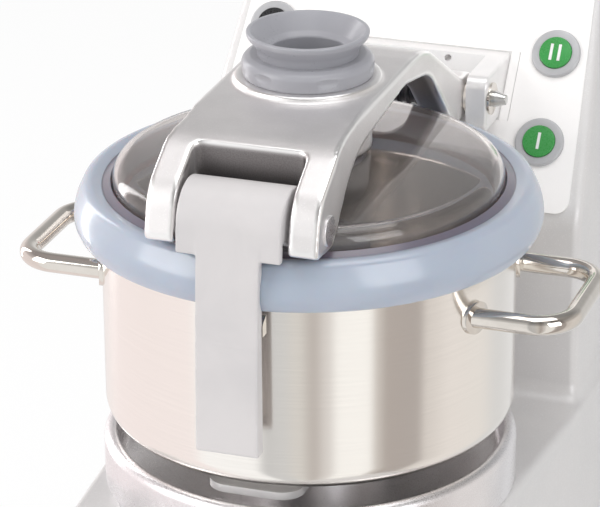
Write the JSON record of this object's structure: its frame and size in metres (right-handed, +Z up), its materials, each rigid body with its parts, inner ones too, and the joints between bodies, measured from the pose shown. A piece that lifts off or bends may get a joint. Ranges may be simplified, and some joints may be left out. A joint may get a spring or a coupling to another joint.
{
  "type": "cutter mixer",
  "caption": "Bench cutter mixer with a steel bowl, hinged clear lid in a cast arm, front latch lever, vertical motor in a cast base and a sloped button panel.",
  "frame": {"origin": "on the floor, under the centre of the machine's bounding box", "axes": "+Z up, +X to the right as the user faces the lever, +Y back towards the column"},
  "size_m": [0.412, 0.5541, 0.585],
  "materials": {
    "housing_paint": "cast aluminium with a fine textured light silver grey coat",
    "machined_aluminium": "machined and softly blasted aluminium",
    "cast_aluminium": "bead blasted casting with polished edges",
    "lever_coat": "smooth satin light grey coat",
    "bowl_steel": "brushed round the bowl",
    "polished_steel": "polished stainless steel",
    "plain_steel": "plain zinc plated steel",
    "core_steel": "stacked electrical steel sheets",
    "copper_winding": "varnished copper winding",
    "blade_steel": "ground stainless steel",
    "spring_steel": "dark oiled spring steel",
    "dome_clear": "clear smoky grey moulded plastic",
    "seal_blue": "soft satin blue grey seal",
    "chimney_grey": "satin mid grey moulded plastic",
    "overlay_white": "off white printed film without print",
    "bezel_grey": "satin light grey moulding",
    "button_green": "green cap with a pale numeral",
    "button_red": "red cap with a pale ring",
    "button_black": "black cap",
    "black_plastic": "black moulded plastic",
    "nylon_dark": "dark nylon",
    "rubber_black": "black rubber",
    "bronze": "sintered bronze"
  },
  "bodies": {
    "root": {"base_housing": "housing_paint", "bottom_plate": "plain_steel", "rubber_feet": "rubber_black", "foot_screws": "plain_steel", "seat_ring": "machined_aluminium", "bowl": "bowl_steel", "bowl_tube": "bowl_steel", "bowl_tab": "polished_steel", "left_handle": "polished_steel", "right_handle": "polished_steel", "handle_flanges": "polished_steel", "latch_keeper": "polished_steel", "motor_support": "machined_aluminium", "spindle_pedestal": "machined_aluminium", "motor_frame": "machined_aluminium", "stator_core": "core_steel", "stator_windings": "copper_winding", "lower_end_shield": "cast_aluminium", "tie_bolts": "plain_steel", "upper_bearing": "blade_steel", "lower_bearing": "blade_steel", "shaft_seal": "rubber_black", "hinge_pin": "polished_steel", "hinge_washers": "polished_steel", "hinge_spring": "spring_steel", "hinge_bracket": "cast_aluminium", "bracket_bolts": "plain_steel", "control_overlay": "overlay_white", "button_bezels": "bezel_grey", "contact_blocks": "black_plastic", "equipment_tray": "plain_steel", "contactors": "black_plastic", "control_transformer": "core_steel", "lid_sensor": "black_plastic", "rear_cover": "plain_steel", "rear_cover_screws": "plain_steel", "cable_gland": "black_plastic"},
    "lid": {"lid_dome": "dome_clear", "lid_rim_seal": "seal_blue", "chimney": "chimney_grey", "chimney_collar": "chimney_grey", "lid_arm": "cast_aluminium", "lid_magnet": "plain_steel", "latch_pin": "machined_aluminium", "hinge_bushes": "bronze"},
    "latch": {"latch_lever": "lever_coat"},
    "rotor": {"motor_shaft": "blade_steel", "rotor_core": "core_steel", "cooling_fan": "black_plastic", "blade_hub": "nylon_dark", "lower_blade": "blade_steel", "upper_blade": "blade_steel", "blade_spacers": "nylon_dark", "hub_cap": "nylon_dark"},
    "high_speed_button_body": {"high_speed_button": "button_green"},
    "low_speed_button_body": {"low_speed_button": "button_green"},
    "pulse_button_body": {"pulse_button": "button_black"},
    "stop_button_body": {"stop_button": "button_red"}
  },
  "joints": [
    {"name": "lid_hinge", "type": "hinge", "parent": "root", "child": "lid", "pos_m": [0, 0.0866, 0.4557], "axis": [-1, 0, 0], "range_deg": [0, 75]},
    {"name": "latch_pivot", "type": "hinge", "parent": "lid", "child": "latch", "pos_m": [0, -0.2419, 0.477], "axis": [-1, 0, 0], "range_deg": [0, 70]},
    {"name": "spindle_spin", "type": "hinge", "parent": "root", "child": "rotor", "pos_m": [0, -0.1049, 0.283], "axis": [0, 0, 1], "continuous": true},
    {"name": "high_speed_button_press", "type": "slide", "parent": "root", "child": "high_speed_button_body", "axis": [0, 0.7859, -0.6184], "range_m": [0, 0.003], "stiffness_N_per_m": 400, "springref_m": -0.002},
    {"name": "low_speed_button_press", "type": "slide", "parent": "root", "child": "low_speed_button_body", "axis": [0, 0.7859, -0.6184], "range_m": [0, 0.003], "stiffness_N_per_m": 400, "springref_m": -0.002},
    {"name": "pulse_button_press", "type": "slide", "parent": "root", "child": "pulse_button_body", "axis": [0, 0.7859, -0.6184], "range_m": [0, 0.003], "stiffness_N_per_m": 400, "springref_m": -0.002},
    {"name": "stop_button_press", "type": "slide", "parent": "root", "child": "stop_button_body", "axis": [0, 0.7859, -0.6184], "range_m": [0, 0.003], "stiffness_N_per_m": 400, "springref_m": -0.002}
  ]
}
